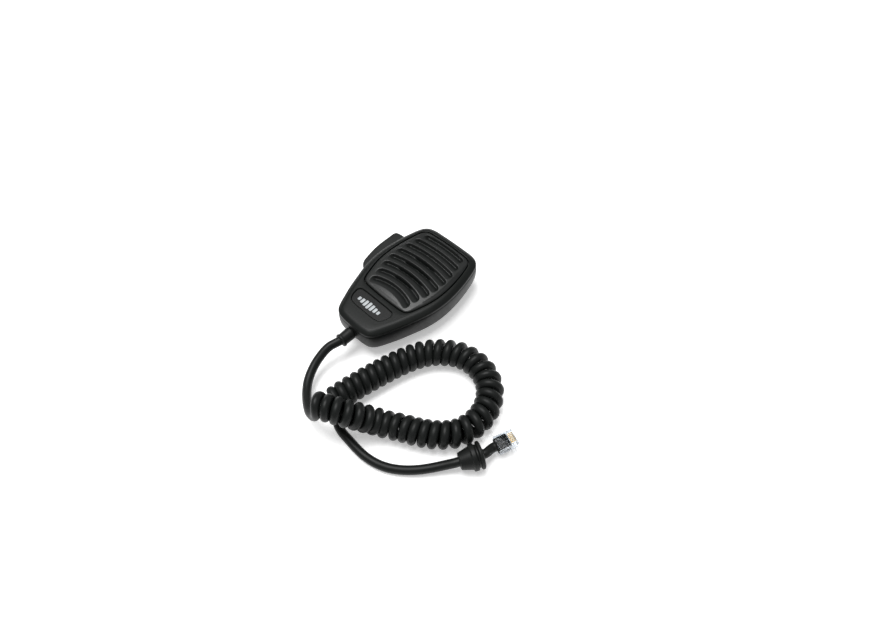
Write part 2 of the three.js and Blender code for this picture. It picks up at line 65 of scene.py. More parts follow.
# ------------------------------------------------------------------ geometry helpers (millimetres in, metres out)
def catmull(pts, n, closed=True, dense=40):
    P = [np.array(p, float) for p in pts]
    m = len(P)
    out = []
    segs = m if closed else m - 1
    for i in range(segs):
        if closed:
            p0, p1, p2, p3 = P[(i - 1) % m], P[i], P[(i + 1) % m], P[(i + 2) % m]
        else:
            p1, p2 = P[i], P[i + 1]
            p0 = P[i - 1] if i > 0 else 2 * p1 - p2
            p3 = P[i + 2] if i + 2 < m else 2 * p2 - p1
        t0 = 0.0
        t1 = t0 + max(1e-6, np.linalg.norm(p1 - p0)) ** 0.5
        t2 = t1 + max(1e-6, np.linalg.norm(p2 - p1)) ** 0.5
        t3 = t2 + max(1e-6, np.linalg.norm(p3 - p2)) ** 0.5
        for k in range(dense):
            t = t1 + (t2 - t1) * k / dense
            a1 = (t1 - t) / (t1 - t0) * p0 + (t - t0) / (t1 - t0) * p1
            a2 = (t2 - t) / (t2 - t1) * p1 + (t - t1) / (t2 - t1) * p2
            a3 = (t3 - t) / (t3 - t2) * p2 + (t - t2) / (t3 - t2) * p3
            b1 = (t2 - t) / (t2 - t0) * a1 + (t - t0) / (t2 - t0) * a2
            b2 = (t3 - t) / (t3 - t1) * a2 + (t - t1) / (t3 - t1) * a3
            out.append((t2 - t) / (t2 - t1) * b1 + (t - t1) / (t2 - t1) * b2)
    if not closed:
        out.append(P[-1])
    D = np.array(out)
    E = np.vstack([D, D[:1]]) if closed else D
    s = np.r_[0, np.cumsum(np.linalg.norm(np.diff(E, axis=0), axis=1))]
    q = np.linspace(0, s[-1], n + 1)[:-1] if closed else np.linspace(0, s[-1], n)
    return np.c_[tuple(np.interp(q, s, E[:, j]) for j in range(E.shape[1]))]


def mirrored(half):
    return list(half) + [(-x, y) for x, y in reversed(half[1:-1])]


def offset(poly, d):
    poly = np.asarray(poly, float)
    t = np.roll(poly, -1, 0) - np.roll(poly, 1, 0)
    t /= np.maximum(1e-9, np.linalg.norm(t, axis=1))[:, None]
    d = d(poly[:, 1])[:, None] if callable(d) else d
    return poly + d * np.c_[t[:, 1], -t[:, 0]]


def shrink(poly, c, f):
    return np.asarray(c, float) + (np.asarray(poly, float) - c) * f


def ring(poly, z):
    z = np.array([z(x, y) for x, y in poly]) if callable(z) else np.full(len(poly), float(z))
    return np.c_[poly, z]


def link(me, name):
    o = bpy.data.objects.new(name, me)
    bpy.context.scene.collection.objects.link(o)
    return o


def mesh_obj(name, verts, faces):
    me = bpy.data.meshes.new(name)
    me.from_pydata([tuple(float(c) * MM for c in v) for v in verts], [], [tuple(int(i) for i in f) for f in faces])
    bm = bmesh.new()
    bm.from_mesh(me)
    bmesh.ops.remove_doubles(bm, verts=bm.verts, dist=1e-7)
    bmesh.ops.recalc_face_normals(bm, faces=bm.faces)
    if bm.calc_volume(signed=True) < 0:
        bmesh.ops.reverse_faces(bm, faces=bm.faces)
    bm.to_mesh(me)
    bm.free()
    return link(me, name)


def loft(name, rings, end_a=None, end_b=None, torus=False):
    n = len(rings[0])
    v = [p for r in rings for p in r]
    f = []
    K = len(rings)
    for k in range(K if torus else K - 1):
        for i in range(n):
            a, b = k * n + i, k * n + (i + 1) % n
            c, d = ((k + 1) % K) * n + i, ((k + 1) % K) * n + (i + 1) % n
            f.append((a, b, d, c))
    if not torus:
        for r0, base, e in ((rings[0], 0, end_a), (rings[-1], (K - 1) * n, end_b)):
            v.append(np.mean(r0, axis=0) if e is None else e)
            c = len(v) - 1
            for i in range(n):
                f.append((base + i, base + (i + 1) % n, c) if base else (base + (i + 1) % n, base + i, c))
    return mesh_obj(name, v, f)


def prism(poly, z0, z1, name="tool"):
    return loft(name, [ring(poly, z0), ring(poly, z1)])


def box(x0, x1, y0, y1, z0, z1, name="tool"):
    return prism([(x0, y0), (x1, y0), (x1, y1), (x0, y1)], z0, z1, name)


def revolve(profile, at, direction, n=64, name="tool"):
    d = Vector(direction).normalized()
    q = Vector((0, 0, 1)).rotation_difference(d)
    rings = []
    for r, s in profile:
        if r < 1e-6:
            continue
        rr = []
        for i in range(n):
            a = 2 * math.pi * i / n
            p = q @ Vector((r * math.cos(a), r * math.sin(a), s))
            rr.append((p.x + at[0], p.y + at[1], p.z + at[2]))
        rings.append(np.array(rr))
    ea = q @ Vector((0, 0, profile[0][1]))
    eb = q @ Vector((0, 0, profile[-1][1]))
    return loft(name, rings, np.array(ea) + at, np.array(eb) + at)


def rounded(profile, r, steps=4):
    """Rounds the inner corners of a (radius, station) profile by r."""
    out = [profile[0]]
    for i in range(1, len(profile) - 1):
        a, b, c = (np.array(profile[j], float) for j in (i - 1, i, i + 1))
        u, w = a - b, c - b
        lu, lw = np.linalg.norm(u), np.linalg.norm(w)
        k = min(r, 0.45 * lu, 0.45 * lw)
        p, q = b + u / lu * k, b + w / lw * k
        for j in range(steps + 1):
            t = j / steps
            out.append(tuple((1 - t) ** 2 * p + 2 * t * (1 - t) * b + t * t * q))
    out.append(profile[-1])
    return [tuple(map(float, p)) for p in out]


def boolean(o, tool, op="DIFFERENCE", keep=False):
    m = o.modifiers.new("b", "BOOLEAN")
    m.operation = op
    m.object = tool
    m.solver = "MANIFOLD"
    dg = bpy.context.evaluated_depsgraph_get()
    dg.update()
    me = bpy.data.meshes.new_from_object(o.evaluated_get(dg))
    o.modifiers.clear()
    old = o.data
    o.data = me
    bpy.data.meshes.remove(old)
    if not keep:
        tm = tool.data
        bpy.data.objects.remove(tool)
        bpy.data.meshes.remove(tm)
    return o


def smooth(o, angle=32):
    for p in o.data.polygons:
        p.use_smooth = True
    o.data.set_sharp_from_angle(angle=math.radians(angle))
    return o


# ------------------------------------------------------------------ materials
def new_mat(name):
    m = bpy.data.materials.new(name)
    m.use_nodes = True
    nt = m.node_tree
    return m, nt, nt.nodes["Principled BSDF"]


def node(nt, kind, **kw):
    n = nt.nodes.new(kind)
    for k, v in kw.items():
        if k in n.inputs:
            n.inputs[k].default_value = v
        else:
            setattr(n, k, v)
    return n


def coords(nt):
    return nt.nodes.new("ShaderNodeTexCoord").outputs["Object"]


def plastic(name, rgb, rough=0.45, spread=0.06, grain=2600.0, bump=0.06, mottle=0.12, spec=0.5, coat=0.0, edge_lighten=0.5):
    """Moulded plastic or jacket: fine grain in bump and roughness, slow colour drift, lighter colour on sharp convex
    edges.
    """
    m, nt, b = new_mat(name)
    L = nt.links.new
    co = coords(nt)
    slow = node(nt, "ShaderNodeTexNoise", Scale=70.0, Detail=3.0, Roughness=0.6)
    L(co, slow.inputs["Vector"])
    fine = node(nt, "ShaderNodeTexNoise", Scale=grain, Detail=2.0, Roughness=0.55)
    L(co, fine.inputs["Vector"])
    dark = tuple(c * (1 - mottle) for c in rgb) + (1,)
    light = tuple(min(1, c * (1 + mottle)) for c in rgb) + (1,)
    mix = node(nt, "ShaderNodeMix", data_type="RGBA")
    mix.inputs[6].default_value, mix.inputs[7].default_value = dark, light
    L(slow.outputs["Fac"], mix.inputs[0])
    # lighter colour on sharp convex edges, driven by pointiness
    geo = nt.nodes.new("ShaderNodeNewGeometry")
    edge = node(nt, "ShaderNodeMapRange")
    edge.inputs["From Min"].default_value, edge.inputs["From Max"].default_value = 0.53, 0.62
    edge.inputs["To Min"].default_value, edge.inputs["To Max"].default_value = 0.0, edge_lighten
    L(geo.outputs["Pointiness"], edge.inputs["Value"])
    edge_mix = node(nt, "ShaderNodeMix", data_type="RGBA")
    edge_mix.inputs[7].default_value = tuple(min(1, c * 1.9 + 0.008) for c in rgb) + (1,)
    L(edge.outputs["Result"], edge_mix.inputs[0])
    L(mix.outputs[2], edge_mix.inputs[6])
    L(edge_mix.outputs[2], b.inputs["Base Color"])
    rr = node(nt, "ShaderNodeMapRange")
    rr.inputs["From Min"].default_value, rr.inputs["From Max"].default_value = 0.3, 0.7
    rr.inputs["To Min"].default_value, rr.inputs["To Max"].default_value = max(0.02, rough - spread), min(1, rough + spread)
    L(slow.outputs["Fac"], rr.inputs["Value"])
    L(rr.outputs["Result"], b.inputs["Roughness"])
    bp = node(nt, "ShaderNodeBump", Strength=bump, Distance=0.0004)
    L(fine.outputs["Fac"], bp.inputs["Height"])
    L(bp.outputs["Normal"], b.inputs["Normal"])
    b.inputs["Specular IOR Level"].default_value = spec
    if coat:
        b.inputs["Coat Weight"].default_value = coat
        b.inputs["Coat Roughness"].default_value = 0.18
    return m


def metal(name, rgb, rough=0.28, brushed=900.0):
    m, nt, b = new_mat(name)
    L = nt.links.new
    co = coords(nt)
    mp = node(nt, "ShaderNodeMapping")
    mp.inputs["Scale"].default_value = (1.0, 14.0, 1.0)
    L(co, mp.inputs["Vector"])
    n1 = node(nt, "ShaderNodeTexNoise", Scale=brushed, Detail=3.0)
    L(mp.outputs["Vector"], n1.inputs["Vector"])
    mix = node(nt, "ShaderNodeMix", data_type="RGBA")
    mix.inputs[6].default_value = tuple(c * 0.82 for c in rgb) + (1,)
    mix.inputs[7].default_value = tuple(rgb) + (1,)
    L(n1.outputs["Fac"], mix.inputs[0])
    L(mix.outputs[2], b.inputs["Base Color"])
    rr = node(nt, "ShaderNodeMapRange")
    rr.inputs["To Min"].default_value, rr.inputs["To Max"].default_value = rough * 0.7, rough * 1.3
    L(n1.outputs["Fac"], rr.inputs["Value"])
    L(rr.outputs["Result"], b.inputs["Roughness"])
    b.inputs["Metallic"].default_value = 1.0
    bp = node(nt, "ShaderNodeBump", Strength=0.08, Distance=0.0002)
    L(n1.outputs["Fac"], bp.inputs["Height"])
    L(bp.outputs["Normal"], b.inputs["Normal"])
    return m


def weave(name, rgb, cell=2200.0):
    m, nt, b = new_mat(name)
    L = nt.links.new
    co = coords(nt)
    w1 = node(nt, "ShaderNodeTexWave", Scale=cell, Distortion=0.4)
    w2 = node(nt, "ShaderNodeTexWave", Scale=cell, Distortion=0.4, bands_direction="Y")
    L(co, w1.inputs["Vector"]); L(co, w2.inputs["Vector"])
    mul = node(nt, "ShaderNodeMath", operation="MULTIPLY")
    L(w1.outputs["Fac"], mul.inputs[0]); L(w2.outputs["Fac"], mul.inputs[1])
    mix = node(nt, "ShaderNodeMix", data_type="RGBA")
    mix.inputs[6].default_value = tuple(c * 0.3 for c in rgb) + (1,)
    mix.inputs[7].default_value = tuple(rgb) + (1,)
    L(mul.outputs[0], mix.inputs[0]); L(mix.outputs[2], b.inputs["Base Color"])
    b.inputs["Roughness"].default_value = 0.9
    bp = node(nt, "ShaderNodeBump", Strength=0.5, Distance=0.0004)
    L(mul.outputs[0], bp.inputs["Height"]); L(bp.outputs["Normal"], b.inputs["Normal"])
    return m


def clear(name, rgb=(0.93, 0.95, 0.97), rough=0.08):
    m, nt, b = new_mat(name)
    L = nt.links.new
    co = coords(nt)
    n1 = node(nt, "ShaderNodeTexNoise", Scale=260.0, Detail=2.0)
    L(co, n1.inputs["Vector"])
    rr = node(nt, "ShaderNodeMapRange")
    rr.inputs["To Min"].default_value, rr.inputs["To Max"].default_value = rough * 0.5, rough * 1.8
    L(n1.outputs["Fac"], rr.inputs["Value"]); L(rr.outputs["Result"], b.inputs["Roughness"])
    bp = node(nt, "ShaderNodeBump", Strength=0.005, Distance=0.0001)
    L(n1.outputs["Fac"], bp.inputs["Height"]); L(bp.outputs["Normal"], b.inputs["Normal"])
    b.inputs["Base Color"].default_value = tuple(rgb) + (1,)
    b.inputs["Transmission Weight"].default_value = 1.0
    b.inputs["IOR"].default_value = 1.2
    return m


MAT = {
    # case_plastic is a little darker than front_plastic: painted shade for the rear moulding's side walls
    "case_plastic": plastic("case_plastic", (0.0058, 0.0068, 0.0064), 0.42, 0.05, bump=0.05, spec=0.24),
    "front_plastic": plastic("front_plastic", (0.0068, 0.0080, 0.0074), 0.36, 0.04, bump=0.04, spec=0.16),
    "grille_plastic": plastic("grille_plastic", (0.0068, 0.0079, 0.0074), 0.34, 0.03, bump=0.01, spec=0.42, edge_lighten=0.0),
    "badge_plate": plastic("badge_plate", (0.0035, 0.004, 0.0038), 0.34, 0.04, bump=0.03, spec=0.2),
    "badge_print": plastic("badge_print", (0.34, 0.36, 0.37), 0.4, 0.04, bump=0.02, mottle=0.03, spec=0.3),
    "button_plastic": plastic("button_plastic", (0.0072, 0.0084, 0.0078), 0.42, 0.05, bump=0.07, spec=0.28),
    "steel": metal("steel", (0.62, 0.63, 0.64)),
    "board": plastic("board", (0.03, 0.12, 0.05), 0.35, 0.05, grain=900.0, bump=0.03),
    "switch_plastic": plastic("switch_plastic", (0.03, 0.03, 0.034), 0.5),
    "plunger_plastic": plastic("plunger_plastic", (0.42, 0.05, 0.035), 0.4),
    "component": plastic("component", (0.05, 0.07, 0.12), 0.3, coat=0.3),
    "ceramic": plastic("ceramic", (0.55, 0.43, 0.25), 0.4, mottle=0.2),
    "soft_rubber": plastic("soft_rubber", (0.016, 0.016, 0.016), 0.75, grain=1500.0, bump=0.12),
    "capsule_metal": metal("capsule_metal", (0.68, 0.69, 0.7), 0.32),
    "screen_cloth": weave("screen_cloth", (0.03, 0.03, 0.03)),
    "cord_jacket": plastic("cord_jacket", (0.0070, 0.0080, 0.0076), 0.40, 0.04, grain=1800.0, bump=0.04, spec=0.17),
    "boot_rubber": plastic("boot_rubber", (0.0075, 0.0085, 0.0080), 0.44, 0.05, grain=2000.0, bump=0.05, spec=0.18),
    "wire_red": plastic("wire_red", (0.5, 0.03, 0.03), 0.4),
    "wire_white": plastic("wire_white", (0.75, 0.75, 0.72), 0.4, mottle=0.05),
    "wire_blue": plastic("wire_blue", (0.03, 0.11, 0.45), 0.4),
    "clear_plastic": clear("clear_plastic", (0.80, 0.84, 0.88)),
    "gold": metal("gold", (0.40, 0.27, 0.09), 0.34),
}


def paint(o, slot_name):
    o.data.materials.clear()
    o.data.materials.append(MAT[slot_name])
    return o


# every carried-over CAD node gets its procedural material
for sp in frame["record"]["subparts"]:
    o = N[sp["node"]]
    o.data.materials.clear()
    o.data.materials.append(MAT[sp["material_slot"]])

# ------------------------------------------------------------------ cord: lead, left-handed helix, tail, stub, as one curve
CORD_D, COIL_OD = 5.3, 16.6
R_H = (COIL_OD - CORD_D) / 2
LEAD = [(0, -52.9, 14), (-0.4, -55.0, 13.95), (-1.3, -58.3, 13.8), (-2.4, -61.8, 13.3), (-2.7, -65.7, 12.4), (-2.4, -69.7, 11.2), (-1.6, -74.2, 9.9), (-0.2, -78.3, 8.8), (1.6, -82.0, 8.0),
        (4.0, -85.5, 7.6), (7.2, -88.8, 7.7), (10.8, -91.7, 8.4), (15.1, -94.5, 9.8), (19.5, -96.9, 11.5), (23.5, -98.5, 13.3), (26.5, -99.0, 15.0)]
COIL = [(28.3, -94.9, 23.8), (35.2, -91.0, 22.9), (42.2, -86.4, 20.3), (48.6, -80.6, 15.2), (53.6, -75.7, 10.4), (58.7, -72.3, 8.5), (66.1, -67.9, 8.4), (76.2, -62.5, 8.4), (85.5, -55.5, 8.4), (91.3, -48.2, 8.4),
        (94.0, -39.0, 8.4), (93.9, -30.5, 8.4), (90.6, -21.5, 8.4), (84.5, -14.0, 8.4), (75.5, -9.4, 8.4), (66.1, -8.4, 8.4), (56.5, -10.7, 8.4), (48.0, -16.5, 8.4), (41.6, -23.6, 8.4), (37.5, -31.5, 8.4),
        (33.6, -42.4, 8.4), (30.7, -53.3, 8.4), (28.2, -63.9, 8.4), (26.1, -74.7, 8.4), (25.0, -83.4, 8.4)]
TAIL = [(31.1, -85.9, 4.9), (32.2, -87.9, 3.2), (34.6, -89.7, 2.75), (40.8, -91.6, 2.7), (48.2, -92.2, 2.7), (55.1, -92.6, 2.7), (61.6, -92.4, 2.7), (69.0, -90.9, 2.7), (75.8, -88.1, 2.7), (82.3, -83.7, 2.8),
        (88.4, -78.1, 3.3), (93.6, -72.1, 4.2), (98.4, -66.0, 5.6), (101.7, -61.9, 6.9)]
G0, G1 = np.array((102.9, -60.1, 7.3)), np.array((109.76, -47.92, 8.0))
GU = (G1 - G0) / np.linalg.norm(G1 - G0)
PD = np.array((0.36, 0.933, 0.0)); PD /= np.linalg.norm(PD)
PC = np.array((111.5, -38.8, 6.3))
TURNS, PER, PHI0 = 41, 22, math.radians(262)

line = catmull(COIL, 1600, closed=False)
tan = np.gradient(line, axis=0); tan /= np.linalg.norm(tan, axis=1)[:, None]
arc = np.r_[0, np.cumsum(np.linalg.norm(np.diff(line, axis=0), axis=1))]
curv = np.linalg.norm(np.gradient(tan, axis=0), axis=1) / np.gradient(arc)
k = np.ones(161) / 161
curv = np.convolve(np.pad(curv, 80, mode="edge"), k, mode="valid")
density = (1 - np.minimum(0.45, curv * R_H)) ** 0.9 * np.where(arc < 12, 1.07, 1.0)
phase = np.r_[0, np.cumsum(0.5 * (density[1:] + density[:-1]) * np.diff(arc))]
total = 2 * math.pi * TURNS - math.radians(172)
phase = phase / phase[-1] * total
q = np.linspace(0, total, int(total / (2 * math.pi) * PER) + 1)
c = np.c_[tuple(np.interp(q, phase, line[:, j]) for j in range(3))]
t = np.c_[tuple(np.interp(q, phase, tan[:, j]) for j in range(3))]
t /= np.linalg.norm(t, axis=1)[:, None]
# the first turns stand a little more upright than square to the middle line
ease = np.clip(1 - q / (2 * math.pi * 16), 0, 1) ** 1.3
t = t + (np.tan(math.radians(19)) * ease)[:, None] * np.array((-0.56, 0.60, 0.57))
t /= np.linalg.norm(t, axis=1)[:, None]
ez = np.array((0, 0, 1.0)) - t * t[:, 2:3]; ez /= np.linalg.norm(ez, axis=1)[:, None]
es = np.cross(t, ez)
a = PHI0 + q
helix = c + R_H * (np.cos(a)[:, None] * ez - np.sin(a)[:, None] * es)
lead = catmull(LEAD, 90, closed=False)
stub_end = PC - PD * 0.7
tail_pts = TAIL + [tuple(G0 + GU * s) for s in (2.0, 7.0, 12.5, 15.4)] + [tuple(stub_end - PD * 1.8), tuple(stub_end)]
tail = catmull(tail_pts, 150, closed=False)


def resample(path, step):
    d = np.r_[0, np.cumsum(np.linalg.norm(np.diff(path, axis=0), axis=1))]
    q = np.linspace(0, d[-1], int(round(d[-1] / step)) + 1)
    return np.c_[tuple(np.interp(q, d, path[:, j]) for j in range(3))]


# the lead, the helix and the tail are joined through short bridges and eased there only
def bridge(a, b, n=9):
    """Hermite hand-over from the end of a to the start of b."""
    p0, p1 = a[-1], b[0]
    g = np.linalg.norm(p1 - p0)
    m0 = a[-1] - a[-2]; m0 = m0 / np.linalg.norm(m0) * g
    m1 = b[1] - b[0]; m1 = m1 / np.linalg.norm(m1) * g
    t = np.linspace(0, 1, n + 2)[1:-1, None]
    return (2 * t**3 - 3 * t**2 + 1) * p0 + (t**3 - 2 * t**2 + t) * m0 + (-2 * t**3 + 3 * t**2) * p1 + (t**3 - t**2) * m1


raw = np.vstack([lead, bridge(lead, helix), helix, bridge(helix, tail), tail])
mark1, mark2 = helix[0], helix[-1]
route = resample(raw, 1.1)
idx = np.arange(len(route))
j1 = int(np.argmin(np.linalg.norm(route - mark1, axis=1)))
j2 = int(np.argmin(np.linalg.norm(route - mark2, axis=1)))
for it in range(26):
    near = ((np.abs(idx - j1) < 6) & (it < 10)) | (np.abs(idx - j2) < 11)
    near[[0, -1]] = False
    s = route.copy()
    s[1:-1] = 0.5 * route[1:-1] + 0.25 * (route[:-2] + route[2:])
    route = np.where(near[:, None], s, route)
route = resample(route, 1.1)
cu = bpy.data.curves.new("cord", "CURVE")
cu.dimensions = "3D"
sp = cu.splines.new("POLY")
sp.points.add(len(route) - 1)
for i, p in enumerate(route):
    sp.points[i].co = (p[0] * MM, p[1] * MM, p[2] * MM, 1)
    sp.points[i].radius = 1.025 + 0.06 * max(0.0, 1 - i / 60)
sp.use_smooth = True
cu.bevel_depth = CORD_D / 2 * MM
cu.bevel_resolution = 5
cu.use_fill_caps = True
cord = bpy.data.objects.new("cord", cu)
bpy.context.scene.collection.objects.link(cord)
cord.data.materials.append(MAT["cord_jacket"])
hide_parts("cord_lead", "cord_coil", "cord_tail", "cord_stub")
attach(cord, "case")
seg = np.diff(route, axis=0); seg /= np.linalg.norm(seg, axis=1)[:, None]
turn_r = 1.1 / np.maximum(1e-6, np.arccos(np.clip(np.sum(seg[1:] * seg[:-1], axis=1), -1, 1)))
print("tightest bend mm", round(float(turn_r.min()), 2), "at", int(turn_r.argmin()), "of", len(route))

# ------------------------------------------------------------------ case outlines, as in the model
FACE_Z, SPLIT_Z, WALL, CHIN_RISE = 23.0, 19.0, 2.0, 4.0
HALF = [(0, -45.2), (8, -44.9), (12.4, -44.0), (15.0, -42.0), (16.9, -39.0), (19.4, -33.5), (22.3, -26.5), (26.0, -15.5),
        (28.0, -9.0), (29.4, -2.5), (30.1, 5), (30.0, 12), (29.3, 19), (28.1, 26), (26.7, 32), (25.3, 37), (23.6, 40.8), (20.8, 43.4),
        (16.4, 44.7), (8.5, 45.1), (0, 45.2)]
PANEL_HALF = [(0, -18.9), (9, -18.7), (15.5, -18.3), (18.7, -17.3), (20.6, -14.8), (22.7, -8.5), (24.3, -2.5), (25.3, 4.4),
              (25.5, 10.5), (25.0, 18), (23.8, 26), (22.2, 33), (20.6, 37.4), (17.8, 39.7), (9.5, 40.6), (0, 40.9)]
BADGE_HALF = [(0, -34.0), (9, -33.8), (12.3, -33.0), (14.1, -30.9), (15.2, -27.6), (15.4, -25.0), (14.2, -23.2), (10.5, -22.6), (0, -22.5)]
NS = 220
CASE = catmull(mirrored(HALF), NS)
PANEL = catmull(mirrored(PANEL_HALF), NS)
BADGE = catmull(mirrored(BADGE_HALF), 120) - np.array((1.2, 0.0))
SLOT_Y0, SLOT_PITCH = -11.0, 6.68
LOUVRE_DEEP = 2.5
SLOT_HALF = np.array([16.6, 18.0, 20.0, 21.2, 21.2, 20.4, 18.8, 16.6])
SLOT_SAG = np.array([3.4, 3.2, 2.9, 2.6, 2.2, 1.8, 1.3, 0.9])


def sm(x):
    x = max(0.0, min(1.0, x))
    return x * x * (3 - 2 * x)


def back_z(y):
    return CHIN_RISE * sm((-13 - y) / 33)


def curve1(xs, ys, n):
    """Smooth curve through a short table."""
    p = catmull([(x, y) for x, y in zip(xs, ys)], n, closed=False, dense=30)
    return p[:, 0], p[:, 1]


# ------------------------------------------------------------------ rear moulding
def rear_shell():
    S = [0, 0.14, 0.38, 0.62, 0.8, 0.92, 1.0]
    DC = [0.5, 0.8, 0.95, 0.6, -0.6, -2.6, -5.6]
    DB = [0.5, 0.75, 0.5, -0.5, -2.1, -4.1, -6.9]
    s_, c_ = curve1(S, [x / 20 for x in DC], 26)
    sb, b_ = curve1(S, [x / 20 for x in DB], 60)
    b_ = np.interp(s_, sb, b_)

    def wall(c, b, add=0.0):
        return lambda y: c + (b - c) * np.array([sm((v + 42) / 26) for v in y]) + add
    z = lambda s, add=0.0: (lambda x, y: SPLIT_Z - s * (SPLIT_Z - back_z(y) - add))
    rings = [ring(offset(CASE, 0.28), SPLIT_Z)]
    rings += [ring(offset(CASE, 0.48), SPLIT_Z - 0.25)]
    rings += [ring(offset(CASE, wall(c * 20, b * 20)), z(s)) for s, c, b in zip(s_[1:], c_[1:], b_[1:])]
    foot = offset(CASE, wall(DC[-1], DB[-1]))
    rings += [ring(shrink(foot, (0, 2), f), lambda x, y: back_z(y)) for f in (0.93, 0.8, 0.6, 0.4, 0.2)]
    o = loft("rear_case", rings, None, (0, 2, 0))
    inner = [ring(offset(CASE, -1.5), SPLIT_Z + 1)]
    inner += [ring(offset(CASE, wall(c, b, -WALL)), z(s, WALL)) for s, c, b in zip(S, DC, DB)]
    ifoot = offset(CASE, wall(DC[-1], DB[-1], -WALL))
    inner += [ring(shrink(ifoot, (0, 2), f), lambda x, y: back_z(y) + WALL) for f in (0.8, 0.5, 0.25)]
    full_in = loft("tool", inner, None, (0, 2, WALL))
    boolean(o, full_in)
    for x, y in ((14, 33), (-14, 33), (0, -29.4)):
        boolean(o, revolve([(0, 0), (3.6, 0), (3.6, 8.0 - back_z(y)), (0, 8.0 - back_z(y))], (x, y, back_z(y) + 1), (0, 0, 1), 40), "UNION")
        boolean(o, revolve([(0, -4), (1.75, -4), (1.75, 12), (0, 12)], (x, y, 0), (0, 0, 1), 40))
        b = back_z(y)
        boolean(o, revolve([(0, -3), (3.6, -3), (3.6, b - 0.15), (3.1, b + 0.35), (3.1, b + 3.1), (0, b + 3.1)], (x, y, 0), (0, 0, 1), 48))
    boolean(o, revolve([(0, 1), (13.2, 1), (13.2, 5.6), (0, 5.6)], (0, 15, 0), (0, 0, 1), 64), "UNION")
    boolean(o, revolve([(0, -2), (11.6, -2), (11.6, -0.1), (11.0, 0.5), (10.7, 2.9), (10.2, 3.5), (0, 3.5)], (0, 15, 0), (0, 0, 1), 80))
    boolean(o, revolve([(0, 1), (1.75, 1), (1.75, 8.2), (0, 8.2)], (0, 15, 0), (0, 0, 1), 32))
    boolean(o, revolve([(0, -3), (3.3, -3), (3.3, 9), (0, 9)], (0, -49, 14), (0, 1, 0), 48))
    # push-to-talk opening
    boolean(o, box(-45, -22.0, -8.9, 29.9, 4.5, 23))
    paint(o, "case_plastic")
    return smooth(o, 34)


# ------------------------------------------------------------------ front moulding
def front_shell():
    prof = [(SPLIT_Z + 0.3, 0.22), (SPLIT_Z + 0.5, 0.46), (20.6, 0.48), (21.0, 0.42), (21.25, 0.25), (21.45, 0.0), (21.7, -0.4), (22.05, -0.98), (22.4, -1.62), (22.7, -2.3), (22.9, -2.95), (FACE_Z, -3.7)]
    rings = [ring(offset(CASE, d), z) for z, d in prof]
    A, B = offset(CASE, -3.7), offset(PANEL, 0.85)
    for f in (0.2, 0.4, 0.6, 0.8):
        rings.append(ring(A * (1 - f) + B * f, FACE_Z))
    rings += [ring(B, FACE_Z), ring(offset(PANEL, 0.5), FACE_Z - 0.07), ring(offset(PANEL, 0.32), FACE_Z - 0.25), ring(offset(PANEL, 0.25), FACE_Z - 0.5),
              ring(offset(PANEL, 0.2), FACE_Z - 2.0)]
    C, Dn = offset(PANEL, 0.2), offset(CASE, -2.6)
    for f in (0.33, 0.66):
        rings.append(ring(C * (1 - f) + Dn * f, FACE_Z - 2.0))
    rings += [ring(Dn, FACE_Z - 2.0), ring(offset(CASE, -2.2), 20.6), ring(offset(CASE, -1.7), SPLIT_Z + 0.3)]
    o = loft("front_case", rings, torus=True)
    cut = loft("tool", [ring(BADGE, FACE_Z - 1.1), ring(BADGE, FACE_Z - 0.45), ring(offset(BADGE, 0.12), FACE_Z - 0.2), ring(offset(BADGE, 0.42), FACE_Z + 0.02), ring(offset(BADGE, 0.6), FACE_Z + 0.5)])
    boolean(o, cut)
    boolean(o, revolve([(0, 9.3), (3.2, 9.3), (3.2, 21.3), (0, 21.3)], (0, -29.4, 0), (0, 0, 1), 40), "UNION")
    boolean(o, revolve([(0, 6), (1.7, 6), (1.7, 18.5), (0, 18.5)], (0, -29.4, 0), (0, 0, 1), 32))
    paint(o, "front_plastic")
    return smooth(o, 30)


# ------------------------------------------------------------------ grille panel with saw-tooth louvres
def crown(x, y):
    r2 = (x / 26.0) ** 2 * 0.75 + ((y - 11) / 31.0) ** 2 * 0.75
    return FACE_Z + 0.15 + 2.0 * np.maximum(0, 1 - r2)


def louvre_depth(X, Y):
    """Depth of the saw-tooth slots below the crown: a long convex slope down, then a short steep wall up."""
    dep = np.zeros_like(X)
    for i in range(8):
        w, sag = SLOT_HALF[i], SLOT_SAG[i]
        u = np.clip(np.abs(X) / w, 0, 1.2)
        yc = SLOT_Y0 + i * SLOT_PITCH + 0.4 * sag - sag * u * u + 2.45
        ex = np.clip((w - np.abs(X)) / 2.6, 0, 1)
        e = np.sqrt(np.clip(1 - (1 - ex) ** 2, 0, 1))            # rounded slot ends
        wall = yc - 1.6 * (1 - e)
        s = Y - wall                       # 0 at the top of the steep wall, negative towards the crest before it
        length = 6.35 * (0.42 + 0.58 * e)
        foot = -0.85
        down = np.clip((s + length) / (length + foot), 0, 1)
        slope = down ** 1.4
        up = np.clip(-s / -foot, 0, 1)
        up = up * up * (3 - 2 * up)
        d = LOUVRE_DEEP * e ** 0.9 * np.where(s > foot, up, slope)
        d = np.where((s < -length) | (s > 0), 0, d)
        if 1 <= i <= 4:                    # sound slits at the foot of the wall
            half = (8.5, 11.5, 12.0, 9.5)[i - 1]
            along = np.clip((half - np.abs(X)) / 3.0, 0, 1)
            along = along * along * (3 - 2 * along)
            across = np.clip(1 - np.abs(s + 1.15) / 0.55, 0, 1)
            across = across * across * (3 - 2 * across)
            d = d + 1.1 * along * across
        dep = np.maximum(dep, d)
    for _ in range(3):                     # ease the creases over about three grid steps
        dep[1:-1] = 0.5 * dep[1:-1] + 0.25 * (dep[2:] + dep[:-2])
        dep[:, 1:-1] = 0.5 * dep[:, 1:-1] + 0.25 * (dep[:, 2:] + dep[:, :-2])
    return dep


